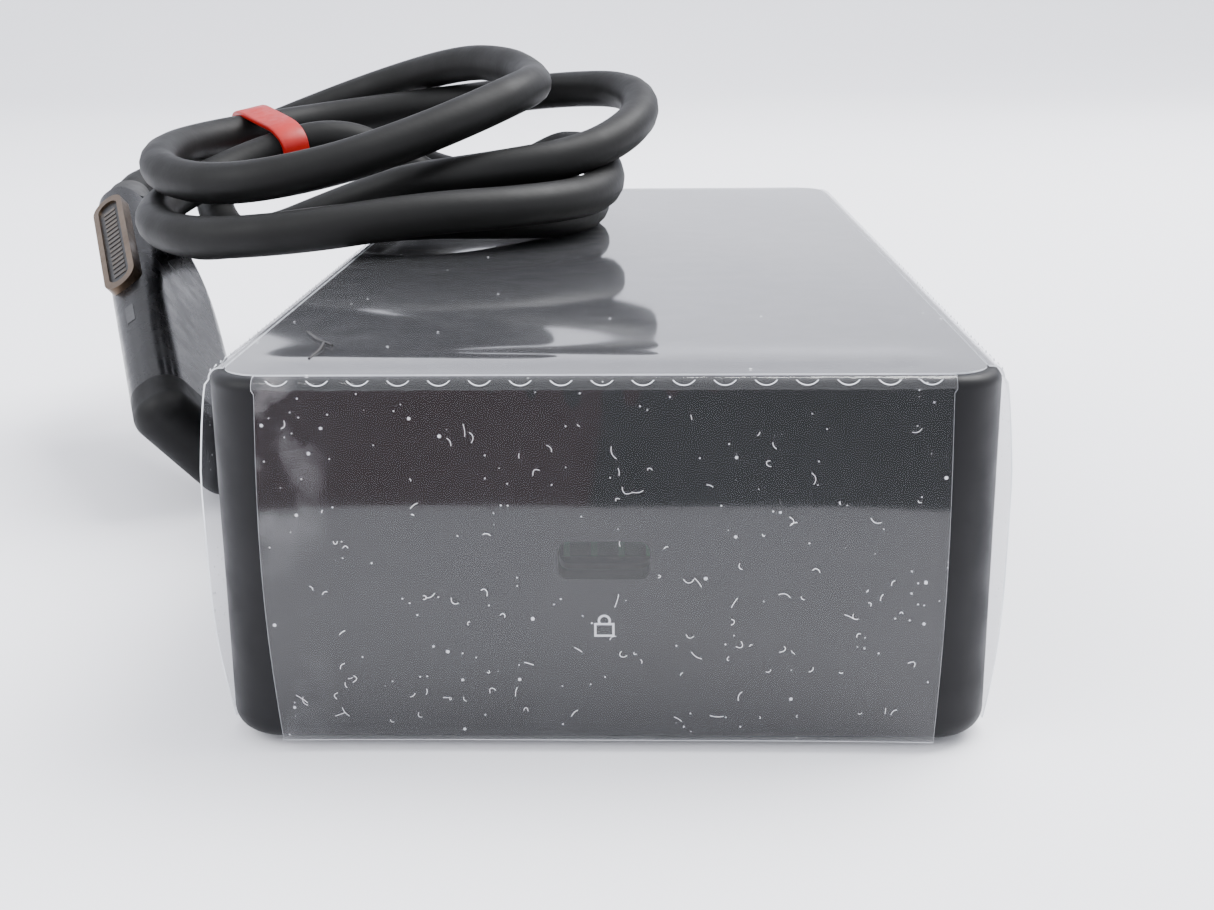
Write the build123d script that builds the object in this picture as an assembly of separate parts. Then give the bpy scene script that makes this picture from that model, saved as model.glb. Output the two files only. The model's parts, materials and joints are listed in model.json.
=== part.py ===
from build123d import *
import os
from math import cos, hypot, pi, radians, sin, tan

# A laptop docking station: a flat-topped moulded brick that stands on a rubber pad, with sockets in
# both long sides, a security slot in one short end and a captive cord in the other. The cord is wound
# up on top of the brick, held by a red tie, and its magnetic plug leans beside it.
# Millimetres. +Z is up, +Y points to the cord end, -Y to the security slot, -X to the two front
# sockets and +X to the rear sockets. The origin is on the table under the middle of the brick.

os.makedirs("parts", exist_ok=True)

# Driving dimensions of the brick
body_length = 130.0
body_width = 60.0
body_height = 30.0
corner_radius = 4.5
top_edge_radius = 0.9
bottom_edge_radius = 1.8
wall = 2.2
shell_bottom = 0.6
fit_gap = 0.1

# Base
pad_thickness = 1.2
pad_inset = 2.6
base_thickness = 2.0
base_bottom = 1.3
base_top = base_bottom + base_thickness
screw_x = 23.0
screw_y = 58.3

# Sockets: heights and places along Y
port_height = 15.5
port_recess = 0.3
port_face = body_width / 2 - port_recess
front_usb_c_y = (-38.0, -24.0)
rear_usb_c_y = (20.0, 32.0)
usb_a_y = (-33.0, -16.0)
ethernet_y = 3.0
audio_y = -48.0
power_y = 47.0

# Security slot in the -Y end
slot_width = 7.0
slot_height = 3.0
slot_corner = 0.8
slot_z = 15.8

# Circuit board
board_thickness = 1.6
board_top = port_height - 1.63
board_bottom = board_top - board_thickness
board_width = 53.0
board_length = 108.0
board_hole_x = 11.5
board_hole_y = 49.5

# Cord and its gland
cord_radius = 2.4
gland_length = 22.0
gland_tip_y = body_length / 2 + gland_length

# Plug: length from the cord end to the nose, width from the blade side to the back, thickness
plug_length = 52.0
plug_width = 17.0
plug_thickness = 7.0
plug_cap_length = 6.0
plug_neck_offset = 5.0
plug_neck_length = 5.0
plug_origin = (-70.12, 35.74, 33.03)
plug_heading = -68.4
plug_dip = 22.3
plug_roll = -52.2
blade_start = 3.5
blade_length = 22.0
blade_thickness = 4.6
blade_height = 0.9
nose_corner = 2.6

# Clear film left on the brick
film = 0.12
film_gap = 0.03

parts = {}


def along(axis_from, axis_to, radius):
    """A round bar between two heights on the local Z axis."""
    return Pos(0, 0, axis_from) * Cylinder(radius, axis_to - axis_from,
                                           align=(Align.CENTER, Align.CENTER, Align.MIN))


def block(x0, x1, y0, y1, z0, z1):
    """A box between three pairs of limits."""
    centre = Pos((x0 + x1) / 2, (y0 + y1) / 2, (z0 + z1) / 2)
    return centre * Box(x1 - x0, y1 - y0, z1 - z0)


def bar_x(sketch, x0, x1):
    """A sketch in the YZ plane, pushed along X between two places."""
    return Pos(x0, 0, 0) * extrude(Plane.YZ * sketch, amount=x1 - x0)


def at_corners(x, y):
    """The four places that mirror one place about both middle planes."""
    return [(sx * x, sy * y) for sx in (-1, 1) for sy in (-1, 1)]


def rear(shape, y):
    """A socket built with its mouth at the origin facing +X, set in the rear face."""
    return Pos(port_face, y, port_height) * shape


def front(shape, y):
    """The same socket, turned round and set in the front face."""
    return Pos(-port_face, y, port_height) * Rot(0, 0, 180) * shape


# ---- socket sizes, shared by the sockets and by the holes they pass through ----
usb_c_outer = (8.94, 3.26)
usb_c_inner = (8.34, 2.56)
usb_c_depth = 9.5
usb_a_outer = (13.14, 5.72)
usb_a_inner = (12.5, 5.12)
usb_a_depth = 17.0
jack_size = (16.0, 15.9, 13.4)
audio_nose_radius = 3.1
audio_bore_radius = 1.8
audio_depth = 14.0
power_nose_radius = 4.6
power_bore_radius = 3.2
power_depth = 12.0


def socket_holes():
    """Tools that cut every socket's hole through the long walls, each with a small gap all round."""
    reach = wall + 2.0
    low, high = -reach, 1.0
    usb_c = bar_x(SlotOverall(usb_c_outer[0] + 2 * fit_gap, usb_c_outer[1] + 2 * fit_gap), low, high)
    usb_a = bar_x(RectangleRounded(usb_a_outer[0] + 2 * fit_gap, usb_a_outer[1] + 2 * fit_gap, 0.6), low, high)
    jack = bar_x(RectangleRounded(jack_size[1] + 2 * fit_gap, jack_size[2] + 2 * fit_gap, 0.2), low, high)
    audio = bar_x(Circle(audio_nose_radius + fit_gap), low, high)
    power = bar_x(Circle(power_nose_radius + fit_gap), low, high)
    tools = [front(usb_c, y) for y in front_usb_c_y] + [rear(usb_c, y) for y in rear_usb_c_y]
    tools += [rear(usb_a, y) for y in usb_a_y]
    return tools + [rear(jack, ethernet_y), rear(audio, audio_y), rear(power, power_y)]


def security_cut(extra=0.0):
    """The security slot as a tool through the -Y end, optionally larger all round."""
    mouth = RectangleRounded(slot_width + 2 * extra, slot_height + 2 * extra, slot_corner + extra)
    tool = extrude(Plane.XZ * mouth, amount=8.0, both=True)
    return Pos(0, -body_length / 2, slot_z) * tool


def top_shell():
    """The moulded housing: the top and all four walls in one piece, open below, with screw bosses."""
    height = body_height - film - film_gap - shell_bottom
    outer = Pos(0, 0, shell_bottom) * extrude(
        RectangleRounded(body_width, body_length, corner_radius), amount=height)
    outer = fillet(outer.faces().sort_by(Axis.Z)[-1].edges(), top_edge_radius)
    outer = fillet(outer.faces().sort_by(Axis.Z)[0].edges(), bottom_edge_radius)
    roof = shell_bottom + height - wall
    inside = extrude(RectangleRounded(body_width - 2 * wall, body_length - 2 * wall, corner_radius - wall),
                     amount=roof)
    shell = outer - inside
    for x, y in at_corners(screw_x, screw_y):
        boss = along(base_top + fit_gap, roof, 3.0) - along(base_top, base_top + 9.0, 1.1)
        rib = block(min(x, x * 1.17), max(x, x * 1.17), y - 0.6, y + 0.6, base_top + 4.0, roof)
        shell += Pos(x, y, 0) * boss + (rib - Pos(x, y, 0) * along(0, roof, 2.5))
    for x, y in at_corners(board_hole_x, board_hole_y):
        boss = along(board_top, roof, 2.6) - along(board_top - 1.0, board_top + 7.0, 0.9)
        shell += Pos(x, y, 0) * boss
    wall_face = -body_length / 2 + wall
    for side in (-1, 1):
        web = block(10.2, 12.0, wall_face - 0.2, wall_face + 2.8, 8.0, roof)
        lip = block(8.8, 12.0, wall_face + 1.8, wall_face + 2.8, 8.0, roof)
        guide = web + lip
        shell += guide if side > 0 else guide.mirror(Plane.YZ)
    for tool in socket_holes():
        shell -= tool
    shell -= security_cut()
    shell -= Pos(0, body_length / 2, port_height) * Rot(90, 0, 0) * along(-4.0, 4.0, 4.6)
    return shell


def base_plate():
    """The moulded floor, set inside the walls and held by four screws from below."""
    plate = Pos(0, 0, base_bottom) * extrude(
        RectangleRounded(body_width - 2 * wall - 2 * fit_gap, body_length - 2 * wall - 2 * fit_gap,
                         corner_radius - wall), amount=base_thickness)
    for x, y in at_corners(screw_x, screw_y):
        plate -= Pos(x, y, 0) * along(0, 5.0, 1.6)
        plate -= Pos(x, y, base_bottom) * along(-0.1, 1.1, 2.9)
    for y in (-40.0, -20.0, 0.0, 20.0, 40.0):
        plate -= Pos(0, y, base_bottom) * Box(46.0, 2.0, 1.0, align=(Align.CENTER, Align.CENTER, Align.MIN))
    return plate


def base_pad():
    """The rubber pad that the brick stands on, glued over the screws in the recess of the base."""
    pad = extrude(RectangleRounded(body_width - 2 * pad_inset, body_length - 2 * pad_inset, 3.0),
                  amount=pad_thickness)
    return fillet(pad.faces().sort_by(Axis.Z)[0].edges(), 0.4)


def machine_screw(head_radius, head_height, shank_radius, shank_length, drive=0.9):
    """A flat-headed screw standing on its head at the origin, shank up, with a hexalobe-like drive."""
    screw = along(0, head_height, head_radius) + along(head_height, head_height + shank_length, shank_radius)
    screw -= extrude(RegularPolygon(drive, 6), amount=head_height * 0.6)
    return screw


def group(shapes):
    return Compound(children=[s if isinstance(s, Solid) else s.solids()[0] for s in shapes])


def base_screws():
    screw = machine_screw(2.6, 1.0, 1.1, 8.5)
    return group([Pos(x, y, base_bottom + 0.1) * screw for x, y in at_corners(screw_x, screw_y)])


def board_screws():
    screw = machine_screw(2.0, 1.0, 0.9, 7.0, 0.7)
    return group([Pos(x, y, board_bottom - 1.0) * screw for x, y in at_corners(board_hole_x, board_hole_y)])


def lock_plate():
    """A steel plate behind the security slot, held in two moulded guides."""
    face = -body_length / 2 + wall
    plate = block(-10.0, 10.0, face + 0.1, face + 1.6, 8.2, 24.0)
    return plate - security_cut(0.1)


def main_board():
    """The circuit board, notched along its rear edge for the sockets that are sunk into it."""
    board = block(-board_width / 2, board_width / 2, -board_length / 2, board_length / 2,
                  board_bottom, board_top)
    edge = board_width / 2 + 1.0
    notches = [(y, usb_a_outer[0] / 2 + 0.4, usb_a_depth) for y in usb_a_y]
    notches.append((ethernet_y, jack_size[1] / 2 + 0.6, jack_size[0]))
    notches.append((audio_y, 4.2, audio_depth + 1.2))
    notches.append((power_y, 5.4, power_depth + 2.0))
    for y, half, depth in notches:
        board -= block(port_face - depth - 0.5, edge, y - half, y + half, 0, body_height)
    for x, y in at_corners(board_hole_x, board_hole_y):
        board -= Pos(x, y, 0) * along(0, body_height, 1.1)
    return board


def ballast_plate():
    """A steel plate on the floor, which gives the brick its weight."""
    plate = block(-20.0, 20.0, -52.0, 52.0, base_top + 0.1, base_top + 4.1)
    return fillet(plate.edges().filter_by(Axis.Z), 3.0)


def heat_spreader():
    """A cast aluminium plate under the roof, with a pedestal over each hot chip."""
    low, high = 23.2, 25.0
    plate = block(-23.0, 23.0, -44.0, 44.0, low, high)
    plate = fillet(plate.edges().filter_by(Axis.Z), 2.0)
    for x, y, size, chip_height in hot_chips:
        reach = board_top + chip_height + pad_height
        plate += block(x - size / 2, x + size / 2, y - size / 2, y + size / 2, reach, low + 0.5)
    for y in (-30.0, -10.0, 10.0, 30.0):
        plate -= block(-14.0, 14.0, y - 1.0, y + 1.0, high - 0.7, high + 1.0)
    return plate


pad_height = 0.8
# Place, size and height of each chip that touches the heat spreader
hot_chips = [(-8.0, -34.0, 12.0, 1.3), (-8.0, -12.0, 10.0, 1.1), (-8.0, 30.0, 8.0, 1.0)]
chip_names = ("display_chip", "usb_hub_chip", "power_chip")


def chips():
    """The packages that the pedestals press on, and their thermal pads."""
    made = {}
    for name, (x, y, size, height) in zip(chip_names, hot_chips):
        half = size / 2
        made[name] = block(x - half, x + half, y - half, y + half, board_top, board_top + height)
        made[name + "_pad"] = block(x - half, x + half, y - half, y + half,
                                    board_top + height, board_top + height + pad_height)
    made["ethernet_chip"] = block(-3.5, 3.5, 6.0, 13.0, board_top, board_top + 0.9)
    made["ethernet_transformer"] = block(3.5, 10.5, -10.0, 4.0, board_top, board_top + 5.0)
    return made


def inductors():
    places = ((-25.2, 28.0), (-25.2, 36.0), (-25.2, 44.0), (-17.6, 36.0))
    return group([block(x, x + 6.6, y, y + 6.6, board_top, board_top + 3.0) for x, y in places])


def capacitors():
    can = chamfer(along(0, 5.8, 3.1).edges().sort_by(Axis.Z)[-1], 0.4)
    return group([Pos(x, y, board_top) * can for x, y in
                  ((4.0, 32.0), (4.0, 40.0), (-22.0, -6.0), (-22.0, 2.0), (-22.0, 10.0))])


def usb_c_socket():
    """A reversible socket: its metal shell, and its tongue with twelve contacts through it."""
    outer = SlotOverall(*usb_c_outer)
    inner = SlotOverall(*usb_c_inner)
    shell = bar_x(outer, -usb_c_depth, 0) - bar_x(inner, -usb_c_depth - 1, 1)
    back = bar_x(inner, -usb_c_depth, -usb_c_depth + 2.4)
    tongue_back = -usb_c_depth + 2.4
    tongue = back + block(tongue_back, -1.0, -3.34, 3.34, -0.35, 0.35)
    contacts = []
    for n in range(12):
        y = (n - 5.5) * 0.5
        strip = block(tongue_back + 0.4, -1.5, y - 0.13, y + 0.13, -0.4, 0.4)
        tongue -= strip
        contacts.append(strip)
    return shell, tongue, contacts


def usb_a_socket():
    """A wide socket: its folded metal shell, and its tongue with four contacts under it."""
    shell = bar_x(RectangleRounded(*usb_a_outer, 0.7), -usb_a_depth, 0)
    shell -= bar_x(RectangleRounded(*usb_a_inner, 0.4), -usb_a_depth - 1, 1)
    for y in (-3.2, 3.2):
        shell -= block(-10.0, -4.0, y - 1.1, y - 0.8, -4, 4)
        shell -= block(-10.0, -4.0, y + 0.8, y + 1.1, -4, 4)
        shell -= block(-4.3, -4.0, y - 0.8, y + 0.8, -4, 4)
    tongue = bar_x(RectangleRounded(*usb_a_inner, 0.4), -usb_a_depth, -usb_a_depth + 5.0)
    tongue += block(-usb_a_depth + 5.0, -1.2, -5.55, 5.55, 0.03, 1.87)
    contacts = [block(-usb_a_depth + 6.0, -2.0, y - 0.5, y + 0.5, -0.12, 0.03)
                for y in (-3.5, -1.0, 1.0, 3.5)]
    return shell, tongue, contacts


jack_cavity = (-12.5, 11.9, -3.6, 4.9)  # depth, width, floor and ceiling of the plug space


def ethernet_socket():
    """A network socket: moulded body with a latch groove, eight spring wires, a shield and two lamps."""
    depth, width, height = jack_size
    back, mouth_width, floor, ceiling = jack_cavity
    body = block(-depth, 0, -width / 2, width / 2, -height / 2, height / 2)
    body -= block(back, 1, -mouth_width / 2, mouth_width / 2, floor, ceiling)
    body -= block(back, 1, -3.2, 3.2, floor - 1.5, floor + 1)
    body -= block(back, 1, -1.7, 1.7, floor - 2.5, floor)
    lamps = []
    for y in (-6.2, 6.2):
        lamp = block(-4.0, -0.05, y - 1.2, y + 1.2, -6.2, -4.6)
        body -= lamp
        lamps.append(lamp)
    wires = []
    for n in range(8):
        wire = Rot(0, -18, 0) * block(-7.6, 0, -0.2, 0.2, -0.2, 0.2)
        wires.append(Pos(-2.4, (n - 3.5) * 1.02, ceiling - 0.3) * wire)
    shield = block(-depth - 0.2, -2.6, -width / 2 - 0.2, width / 2 + 0.2, -height / 2, height / 2 + 0.2)
    shield -= block(-depth, 1, -width / 2, width / 2, -height, height / 2)
    return body, wires, shield, lamps


def audio_socket():
    """A headset socket: a round nose through the wall, a bored block behind it and its solder tails."""
    body = bar_x(Circle(audio_nose_radius), -wall - 0.2, 0)
    body += block(-audio_depth - 0.9, -wall + port_recess - 0.1, -3.5, 3.5, -3.3, 3.3)
    body -= bar_x(Circle(audio_bore_radius), -audio_depth, 1)
    tails = [block(x - 0.4, x + 0.4, side * 3.6 - 0.1, side * 3.6 + 0.1, -2.9, 1.0)
             for x in (-5.0, -9.0, -12.5) for side in (-1, 1)]
    return body, tails


def power_socket():
    """A round power inlet: a bored body with a centre pin."""
    body = bar_x(Circle(power_nose_radius), -wall - 0.2, 0)
    body += block(-power_depth - 1.6, -wall + port_recess - 0.1, -4.9, 4.9, -4.9, 4.9)
    body -= bar_x(Circle(power_bore_radius), -power_depth + 1.5, 1)
    body -= bar_x(Circle(1.0), -power_depth - 1.0, 0)
    pin = fillet(bar_x(Circle(1.0), -power_depth - 1.0, -1.0).edges().sort_by(Axis.X)[-1], 0.5)
    return body, pin


def cord_gland():
    """The strain relief: flanges on both sides of the wall and a ribbed taper, bored for the cord."""
    face = body_length / 2
    rings = [(4.5, face - wall, face), (6.2, face, face + 1.2), (6.4, face - wall - 1.6, face - wall)]
    gland = None
    for radius, start, end in rings:
        ring = along(start, end, radius)
        gland = ring if gland is None else gland + ring
    taper = gland_length - 1.2
    cone = Pos(0, 0, face + 1.2) * Cone(4.5, 3.1, taper, align=(Align.CENTER, Align.CENTER, Align.MIN))
    gland += cone
    for n in range(5):
        y = face + 4.0 + n * 3.2
        for turn in (0, 180):
            cut = Rot(0, 0, turn + 90 * (n % 2)) * Pos(0, 3.9, y) * Box(9.0, 1.8, 1.2)
            gland -= cut
    gland -= along(face - 10, face + 40, cord_radius + 0.05)
    return Pos(0, 0, port_height) * Rot(-90, 0, 0) * gland


def inner_cord():
    """The end of the cord inside the brick, up to the ferrule, and through the gland."""
    return Pos(0, 0, port_height) * Rot(-90, 0, 0) * along(57.0, gland_tip_y, cord_radius)


def cord_ferrule():
    """A crimped ring behind the gland, which stops the cord from pulling out."""
    ring = along(57.3, 61.0, 3.9) - along(50, 70, cord_radius + 0.02)
    return Pos(0, 0, port_height) * Rot(-90, 0, 0) * ring


def cord_header():
    """The board connector that the cord's wires plug into."""
    return block(-7.0, 7.0, 45.5, 51.5, board_top, board_top + 3.6)


def cord_wires():
    """The cord's wires, from its cut end to the header, laid side by side."""
    wires = []
    for n in range(6):
        x = (n - 2.5) * 0.72
        wires.append(block(x - 0.3, x + 0.3, 51.5, 57.0, board_top + 1.3, board_top + 1.9))
    return group(wires)


# Route of the cord from the gland to the coil: out, round to the left and along its left side
lead_route = [
    (0.0, gland_tip_y, port_height),
    (0.0, gland_tip_y + 9.0, port_height),
    (-3.5, gland_tip_y + 18.5, 16.5),
    (-11.5, gland_tip_y + 25.0, 19.5),
    (-21.5, gland_tip_y + 26.5, 22.8),
    (-32.5, gland_tip_y + 24.0, 25.0),
    (-42.0, gland_tip_y + 17.0, 25.2),
    (-50.0, gland_tip_y + 6.5, 24.2),
    (-56.5, 78.0, 22.2),
    (-58.5, 57.0, 23.4),
    (-58.4, 42.5, 26.0),
]
# Route from the coil to the plug's neck
tail_route = [
    (-38.5, 58.0, 44.6),
    (-48.2, 59.8, 41.3),
    (-57.5, 60.0, 37.6),
    (-65.2, 56.2, 34.2),
    (-69.0, 50.3, 32.7),
    (-69.95, 43.6, 31.75),
    (-67.82, 38.26, 29.38),
]
# The coil: centre and half sizes of its outline and of its hole, and its outline seen along Y
coil_centre = (-28.0, 25.3)
coil_outer = (32.4, 31.2)
coil_hole_centre = (-31.5, 26.0)
coil_hole = (14.0, 12.0)
coil_side = [(-62.0, 27.4), (-42.0, 27.4), (-31.0, body_height + 0.25), (6.0, body_height + 0.25),
             (6.0, 46.4), (-20.0, 51.4), (-34.0, 50.0), (-62.0, 42.4)]


def corner_radii(route):
    """An arc at each corner of a route, as large as its two runs allow."""
    radii = []
    for before, here, after in zip(route, route[1:], route[2:]):
        first, second = Vector(*here) - Vector(*before), Vector(*after) - Vector(*here)
        turn = radians(first.get_angle(second))
        radii.append(0.45 * min(first.length, second.length) / tan(turn / 2))
    return radii


def cord_tube(name, route):
    """A plain tube along a route of straight runs and tangent arcs."""
    radii = corner_radii(route)
    path = FilletPolyline(*route, radius=radii)
    section = Plane(origin=path @ 0, z_dir=path % 0) * Circle(cord_radius)
    tube = sweep(section, path=path)
    share = tube.volume / (pi * cord_radius ** 2 * path.length)
    print(name, "length", round(path.length, 1), "volume share", round(share, 3),
          "radii", [round(r, 1) for r in radii])
    return tube


def cord_coil():
    """The wound cord's outer shape: an oval ring that lies on the brick and droops past its left edge.
    The tie sits in a groove cut to its own shape."""
    ring = Pos(*coil_centre) * Ellipse(*coil_outer) - Pos(*coil_hole_centre) * Ellipse(*coil_hole)
    side = make_face(Polyline(*coil_side, close=True))
    wound = extrude(ring, amount=60.0) & Pos(0, 90.0, 0) * extrude(Plane.XZ * side, amount=140.0)
    return wound - cord_tie()


def cord_tie():
    """The red band round two turns at the left rear of the coil, as a plain oval ring."""
    band = extrude(SlotOverall(16.6, 6.4) - SlotOverall(15.2, 5.0), amount=1.8, both=True)
    return Pos(-48.2, 39.3, 39.7) * Rot(0, 0, 35.5) * Rot(0, 79.6, 0) * Rot(0, 0, 100) * band


def on_plug(shape):
    """Moves a piece from the plug's own frame, where +X runs from the cord end to the nose and +Y
    from the blade side to the back, to where the plug lies."""
    return Pos(*plug_origin) * Rot(0, 0, plug_heading) * Rot(0, plug_dip, 0) * Rot(plug_roll, 0, 0) * shape


def plug_outline(start, end):
    """The plug seen from its broad side: straight along the blade, swelling at the back, round at the nose."""
    shoulder, swell = 9.0, 22.0
    front_edge = Line((start, 0), (end, 0))
    nose = Line((end, 0), (end, plug_width))
    back = Line((end, plug_width), (swell, plug_width))
    curve = Spline((swell, plug_width), (start, shoulder), tangents=((-1, 0), (-0.55, -1)))
    outline = make_face([front_edge, nose, back, curve, Line((start, shoulder), (start, 0))])
    return fillet(outline.vertices().sort_by(Axis.X)[-2:], nose_corner)


def plug_solid(start, end):
    """A length of the plug's body, with its long edges rounded almost to a half circle."""
    half = plug_thickness / 2
    body = Pos(0, 0, -half) * extrude(plug_outline(0, plug_length), amount=plug_thickness)
    edges = body.edges().filter_by(lambda e: abs(e.center().Z) > half - 0.01)
    body = fillet(edges, half - 0.35)
    return body & block(start, end, -1, plug_width + 1, -half - 1, half + 1)


def plug_pieces():
    """The plug's shell, nose cap, blade, contacts, magnets, lamp, inner board and neck sleeve."""
    half = plug_thickness / 2
    body = plug_solid(0, plug_length - plug_cap_length)
    cap = plug_solid(plug_length - plug_cap_length, plug_length)
    body -= block(7.5, 26.0, 3.9, 9.0, -1.9, 1.9)
    body -= block(14.0, plug_length - plug_cap_length - 1.5, 8.9, plug_width - 2.6, -1.9, 1.9)
    blade_end = blade_start + blade_length
    middle = (blade_start + blade_end) / 2
    profile = Plane.XZ * SlotOverall(blade_length, blade_thickness)
    core = Plane.XZ * SlotOverall(blade_length - 2.4, blade_thickness - 1.6)
    blade = Pos(middle, 2.0, 0) * extrude(profile, amount=2.0 + blade_height)
    insert = Pos(middle, 2.0, 0) * extrude(core, amount=2.0 + blade_height - 0.4)
    body -= blade
    blade -= Pos(middle, 3.0, 0) * extrude(core, amount=4.0 + blade_height)
    contacts = []
    face = 0.4 - blade_height
    for n in range(16):
        x = middle + (n - 7.5) * 1.05
        contacts.append(block(x - 0.3, x + 0.3, face - 0.1, face + 0.3, -0.9, 0.9))
    for contact in contacts:
        insert -= contact
    magnets = [block(x, x + 8.0, 4.2, 8.2, -1.8, 1.8) for x in (8.0, 17.0)]
    lamp = block(blade_end + 4.0, blade_end + 7.5, -0.05, 2.0, -0.6, 0.6)
    body -= lamp
    board = block(15.0, 42.0, 9.4, 13.8, -0.4, 0.4)
    neck = Pos(0, plug_neck_offset, 0) * Rot(0, -90, 0) * (
        Cone(3.3, 2.9, plug_neck_length, align=(Align.CENTER, Align.CENTER, Align.MIN)) - along(-1, 8, cord_radius + 0.02))
    named = {"plug_housing": body, "plug_nose_cap": cap, "plug_blade": blade, "plug_blade_insert": insert,
             "plug_contacts": group(contacts), "plug_magnets": group(magnets), "plug_lamp": lamp,
             "plug_board": board, "plug_neck": neck}
    return {name: on_plug(shape) for name, shape in named.items()}


def protective_film():
    """One sheet of clear film: a panel on the top and a flap folded down each of the four sides."""
    bend = top_edge_radius
    low = shell_bottom + 0.4
    top = body_height - film
    flat = RectangleRounded(body_width - 2 * bend, body_length - 2 * bend, corner_radius - bend)
    sheet = Pos(0, 0, top) * extrude(flat, amount=film)
    end_width = body_width - 8.0
    side_length = body_length - 2 * corner_radius
    for turn, reach, width, flare in ((0, body_width / 2, side_length, 3.4), (90, body_length / 2, end_width, 0)):
        outer = reach + film_gap + film
        bent = outer - bend
        for half_turn in (0, 180):
            arc = bar_x(Circle(bend + 0.02), -width / 2, width / 2)
            arc = Rot(0, 0, 90) * (arc - bar_x(Circle(bend + 0.02 - film), -width, width))
            arc = Pos(bent - 0.02, 0, top + film - bend - 0.02) * arc
            arc &= block(bent - 0.02, outer + 1, -width, width, top + film - bend - 0.02, top + 1)
            bridge = block(bent - 1.2, bent, -width / 2, width / 2, top, top + film)
            hang = flap(width, flare, top + film - bend, low)
            hang = Pos(outer - film, 0, 0) * extrude(Plane.YZ * hang, amount=film)
            fold = arc + bridge + hang
            sheet += Rot(0, 0, turn + half_turn) * fold
    for window in film_windows():
        sheet -= window
    return sheet


def film_windows():
    """Tools that leave the sockets and the cord gland clear of the film."""
    margin = 1.2
    usb_c = bar_x(SlotOverall(usb_c_outer[0] + 2 * margin, usb_c_outer[1] + 2 * margin), -2, 2)
    usb_a = bar_x(RectangleRounded(usb_a_outer[0] + 2 * margin, usb_a_outer[1] + 2 * margin, 1.5), -2, 2)
    jack = bar_x(RectangleRounded(jack_size[1] + 2 * margin, jack_size[2] + 2 * margin, 1.5), -2, 2)
    audio = bar_x(Circle(audio_nose_radius + margin), -2, 2)
    power = bar_x(Circle(power_nose_radius + margin), -2, 2)
    windows = [front(usb_c, y) for y in front_usb_c_y] + [rear(usb_c, y) for y in rear_usb_c_y]
    windows += [rear(usb_a, y) for y in usb_a_y]
    windows += [rear(jack, ethernet_y), rear(audio, audio_y), rear(power, power_y)]
    gland = Pos(0, body_length / 2, port_height) * Rot(90, 0, 0) * along(-4.0, 4.0, 6.8)
    return windows + [gland]


def flap(width, flare, top, low):
    """A flap's flat outline below its fold; a flared one widens under the fold and narrows at its foot."""
    half = width / 2
    if flare == 0:
        return make_face(Polyline((-half, top), (half, top), (half, low), (-half, low), close=True))
    wide = half + flare
    right = [Spline((half, top), (wide, top - 8.0), tangents=((1, -0.6), (0, -1))),
             Line((wide, top - 8.0), (wide, low + 7.0)),
             Spline((wide, low + 7.0), (half + 1.0, low), tangents=((0, -1), (-1, -0.6)))]
    left = [edge.mirror(Plane.YZ) for edge in right]
    return make_face(right + left + [Line((-half, top), (half, top)), Line((-half - 1.0, low), (half + 1.0, low))])


def build():
    parts.update(top_shell=top_shell(), base_plate=base_plate(), base_pad=base_pad(),
                 base_screws=base_screws(), board_screws=board_screws(), lock_plate=lock_plate(),
                 main_board=main_board(), ballast_plate=ballast_plate(), heat_spreader=heat_spreader(),
                 inductors=inductors(), capacitors=capacitors(), cord_gland=cord_gland(),
                 inner_cord=inner_cord(), cord_ferrule=cord_ferrule(), cord_header=cord_header(),
                 cord_wires=cord_wires(), cord_coil=cord_coil(), cord_tie=cord_tie(),
                 protective_film=protective_film())
    parts.update(chips())
    parts["cord_lead"] = cord_tube("cord_lead", lead_route)
    parts["cord_tail"] = cord_tube("cord_tail", tail_route)
    shell, tongue, contacts = usb_c_socket()
    places = [("front", front, y) for y in front_usb_c_y] + [("rear", rear, y) for y in rear_usb_c_y]
    usb_c_contacts = []
    for number, (face, place, y) in enumerate(places):
        label = f"{face}_usb_c_{number % 2 + 1}"
        parts[label + "_shell"] = place(shell, y)
        parts[label + "_tongue"] = place(tongue, y)
        usb_c_contacts += [place(strip, y) for strip in contacts]
    parts["usb_c_contacts"] = group(usb_c_contacts)
    shell, tongue, contacts = usb_a_socket()
    for number, y in enumerate(usb_a_y):
        parts[f"usb_a_{number + 1}_shell"] = rear(shell, y)
        parts[f"usb_a_{number + 1}_tongue"] = rear(tongue, y)
    parts["usb_a_contacts"] = group([rear(strip, y) for strip in contacts for y in usb_a_y])
    body, wires, shield, lamps = ethernet_socket()
    parts["ethernet_socket_body"] = rear(body, ethernet_y)
    parts["ethernet_socket_wires"] = group([rear(wire, ethernet_y) for wire in wires])
    parts["ethernet_socket_shield"] = rear(shield, ethernet_y)
    parts["ethernet_socket_lamps"] = group([rear(lamp, ethernet_y) for lamp in lamps])
    body, tails = audio_socket()
    parts["audio_socket_body"] = rear(body, audio_y)
    parts["audio_socket_tails"] = group([rear(tail, audio_y) for tail in tails])
    body, pin = power_socket()
    parts["power_socket_body"] = rear(body, power_y)
    parts["power_socket_pin"] = rear(pin, power_y)
    parts.update(plug_pieces())
    for name, shape in parts.items():
        export_step(shape, f"parts/{name}.step")
    print(len(parts), "nodes")


build()
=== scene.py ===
import json
from math import atan2, cos, exp, floor, hypot, pi, radians, sin, tau
from random import Random

import bpy
from mathutils import Euler, Matrix, Vector


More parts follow.
